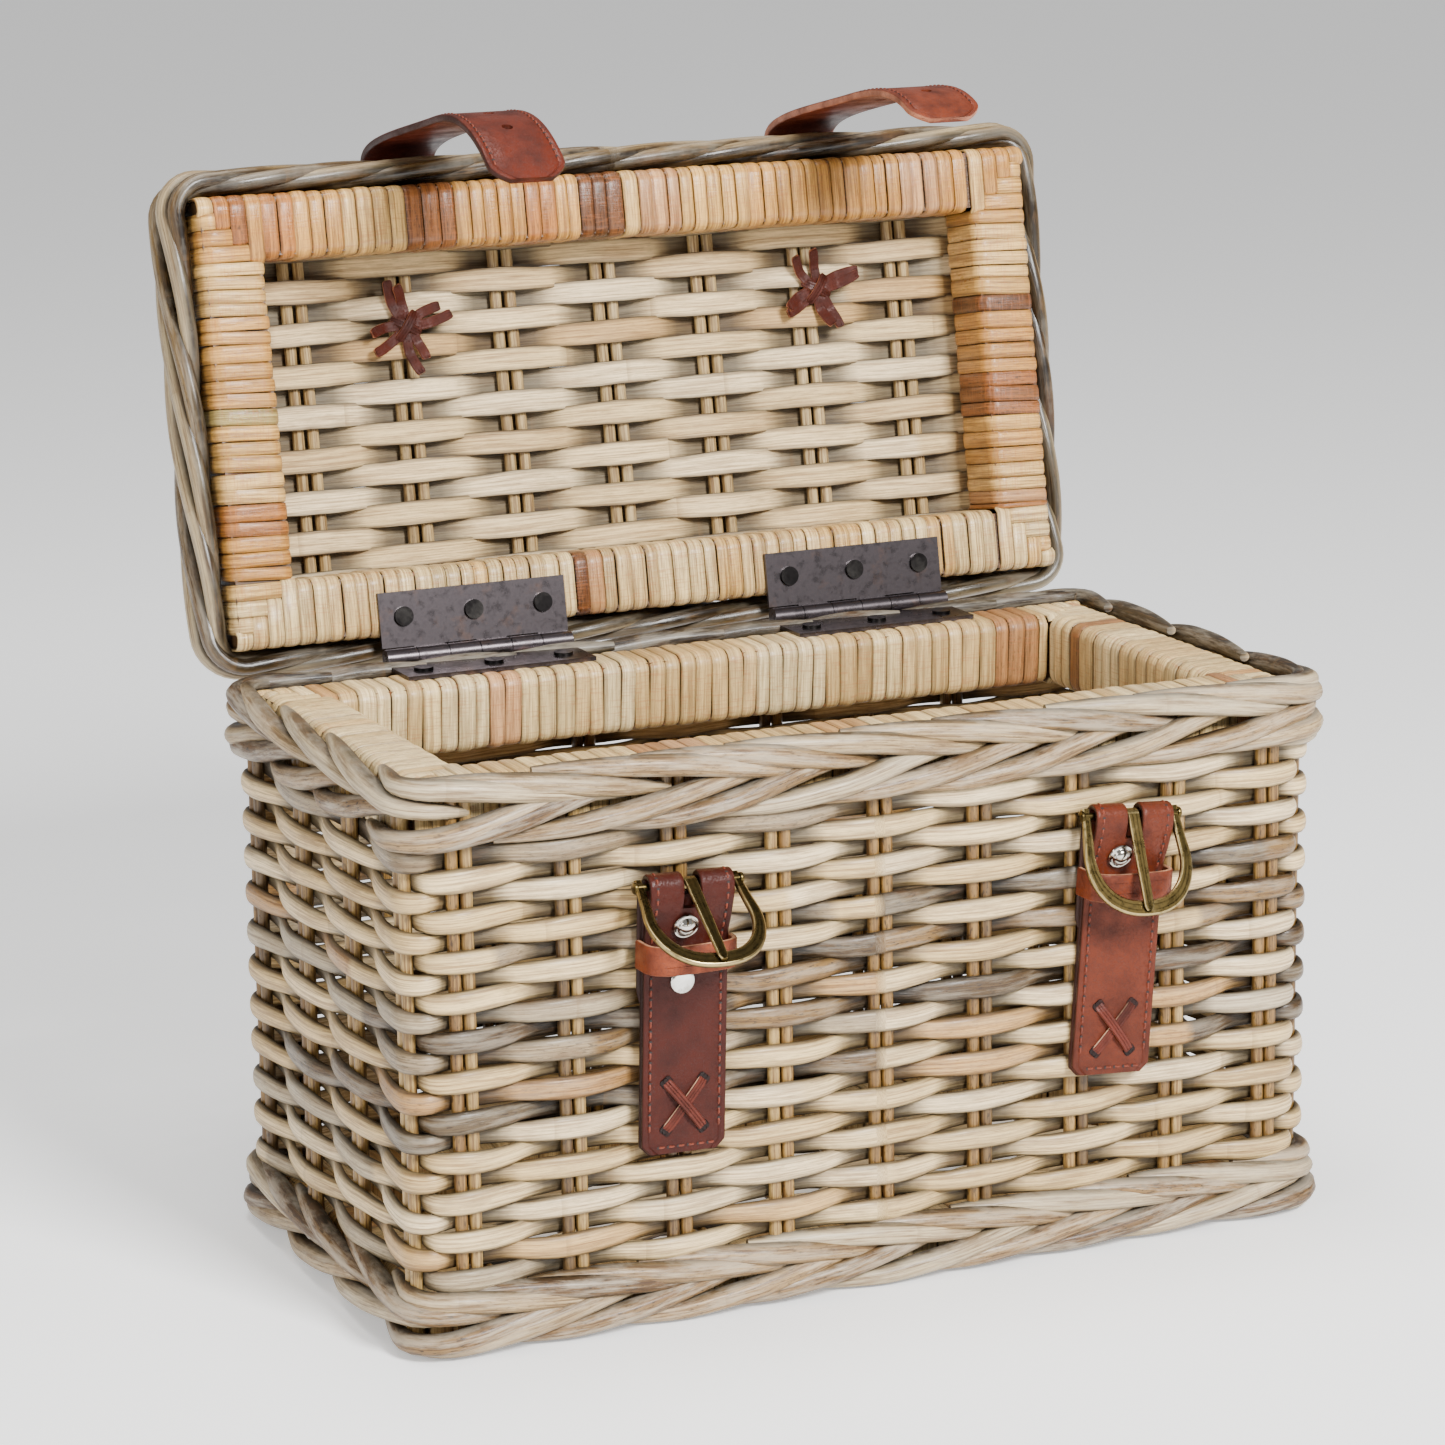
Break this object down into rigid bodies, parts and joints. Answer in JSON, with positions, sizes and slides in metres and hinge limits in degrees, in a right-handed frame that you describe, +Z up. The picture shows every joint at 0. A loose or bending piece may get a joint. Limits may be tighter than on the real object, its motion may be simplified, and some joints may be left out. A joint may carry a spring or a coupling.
{
  "type": "wicker storage trunk",
  "caption": "Rectangular woven trunk with cane-wrapped frames, plaited borders, a butt-hinged woven lid and leather straps with swinging buckles.",
  "frame": {"origin": "middle of the underside of the body, on the surface that it stands on", "axes": "+X to the right along the length, +Y to the hinge side, +Z up"},
  "size_m": [0.367, 0.2995, 0.4154],
  "materials": {
    "cane": "satin",
    "honey_cane": "satin",
    "rattan": "satin",
    "stake_rattan": "matte",
    "border_rattan": "matte whitewashed",
    "bronze": "brushed antique",
    "black_screws": "satin",
    "dark_leather": "satin",
    "tan_leather": "satin",
    "lacing": "matte",
    "antique_brass": "antique",
    "nickel": "polished"
  },
  "bodies": {
    "basket": {"rim_front": "cane", "rim_back": "cane", "rim_left": "cane", "rim_right": "cane", "base_front": "cane", "base_back": "cane", "base_left": "cane", "base_right": "cane", "base_panel": "rattan", "stakes_front": "stake_rattan", "stakes_back": "stake_rattan", "stakes_left": "stake_rattan", "stakes_right": "stake_rattan", "weave_front": "rattan", "weave_back": "rattan", "weave_left": "rattan", "weave_right": "rattan", "top_border": "border_rattan", "bottom_border": "border_rattan", "hinge_left_body_leaf": "bronze", "hinge_right_body_leaf": "bronze", "hinge_left_pin": "bronze", "hinge_right_pin": "bronze", "body_hinge_screws": "black_screws", "front_strap_left": "dark_leather", "front_strap_right": "tan_leather", "keeper_left": "tan_leather", "keeper_right": "tan_leather", "strap_rivets": "nickel", "strap_lacing": "lacing"},
    "lid": {"lid_frame_front": "honey_cane", "lid_frame_back": "honey_cane", "lid_frame_left": "honey_cane", "lid_frame_right": "honey_cane", "lid_stakes": "stake_rattan", "lid_weave": "rattan", "lid_border": "border_rattan", "hinge_left_lid_leaf": "bronze", "hinge_right_lid_leaf": "bronze", "lid_hinge_screws": "black_screws", "lid_strap_left": "dark_leather", "lid_strap_right": "dark_leather", "lace_knot_left": "lacing", "lace_knot_right": "lacing"},
    "strap_arch_left": {"strap_arch_left": "dark_leather"},
    "strap_tip_left": {"strap_tip_left": "dark_leather"},
    "buckle_left": {"buckle_left": "antique_brass"},
    "tongue_left": {"tongue_left": "antique_brass"},
    "strap_arch_right": {"strap_arch_right": "dark_leather"},
    "strap_tip_right": {"strap_tip_right": "dark_leather"},
    "buckle_right": {"buckle_right": "antique_brass"},
    "tongue_right": {"tongue_right": "antique_brass"}
  },
  "joints": [
    {"name": "lid_hinge", "type": "hinge", "parent": "basket", "child": "lid", "pos_m": [0, 0.0933, 0.2086], "axis": [1, 0, 0], "range_deg": [0, 100]},
    {"name": "strap_arch_left_bend", "type": "hinge", "parent": "lid", "child": "strap_arch_left", "pos_m": [-0.079, 0.16841, 0.38524], "axis": [1, 0, 0], "range_deg": [-21.5, 0]},
    {"name": "strap_tip_left_bend", "type": "hinge", "parent": "strap_arch_left", "child": "strap_tip_left", "pos_m": [-0.079, 0.08641, 0.41138], "axis": [1, 0, 0], "range_deg": [-60, 0], "stiffness_Nm_per_rad": 0.02},
    {"name": "strap_arch_right_bend", "type": "hinge", "parent": "lid", "child": "strap_arch_right", "pos_m": [0.0935, 0.16841, 0.38524], "axis": [1, 0, 0], "range_deg": [-21.5, 0]},
    {"name": "strap_tip_right_bend", "type": "hinge", "parent": "strap_arch_right", "child": "strap_tip_right", "pos_m": [0.0935, 0.08641, 0.41138], "axis": [1, 0, 0], "range_deg": [-60, 0], "stiffness_Nm_per_rad": 0.02},
    {"name": "buckle_left_swing", "type": "hinge", "parent": "basket", "child": "buckle_left", "pos_m": [-0.079, -0.09755, 0.162], "axis": [0.9995, 0, -0.0314], "range_deg": [-63, 27]},
    {"name": "tongue_left_swing", "type": "hinge", "parent": "buckle_left", "child": "tongue_left", "pos_m": [-0.079, -0.09755, 0.162], "axis": [0.9995, 0, -0.0314], "range_deg": [-45, 0]},
    {"name": "buckle_right_swing", "type": "hinge", "parent": "basket", "child": "buckle_right", "pos_m": [0.0965, -0.09755, 0.1655], "axis": [0.9972, 0, -0.075], "range_deg": [-90, 0]},
    {"name": "tongue_right_swing", "type": "hinge", "parent": "buckle_right", "child": "tongue_right", "pos_m": [0.0965, -0.09755, 0.1655], "axis": [0.9972, 0, -0.075], "range_deg": [-45, 0]}
  ],
  "couplings": [
    {"joint": "strap_arch_left_bend", "follows": "lid_hinge", "ratio": -0.21},
    {"joint": "strap_arch_right_bend", "follows": "lid_hinge", "ratio": -0.21}
  ]
}
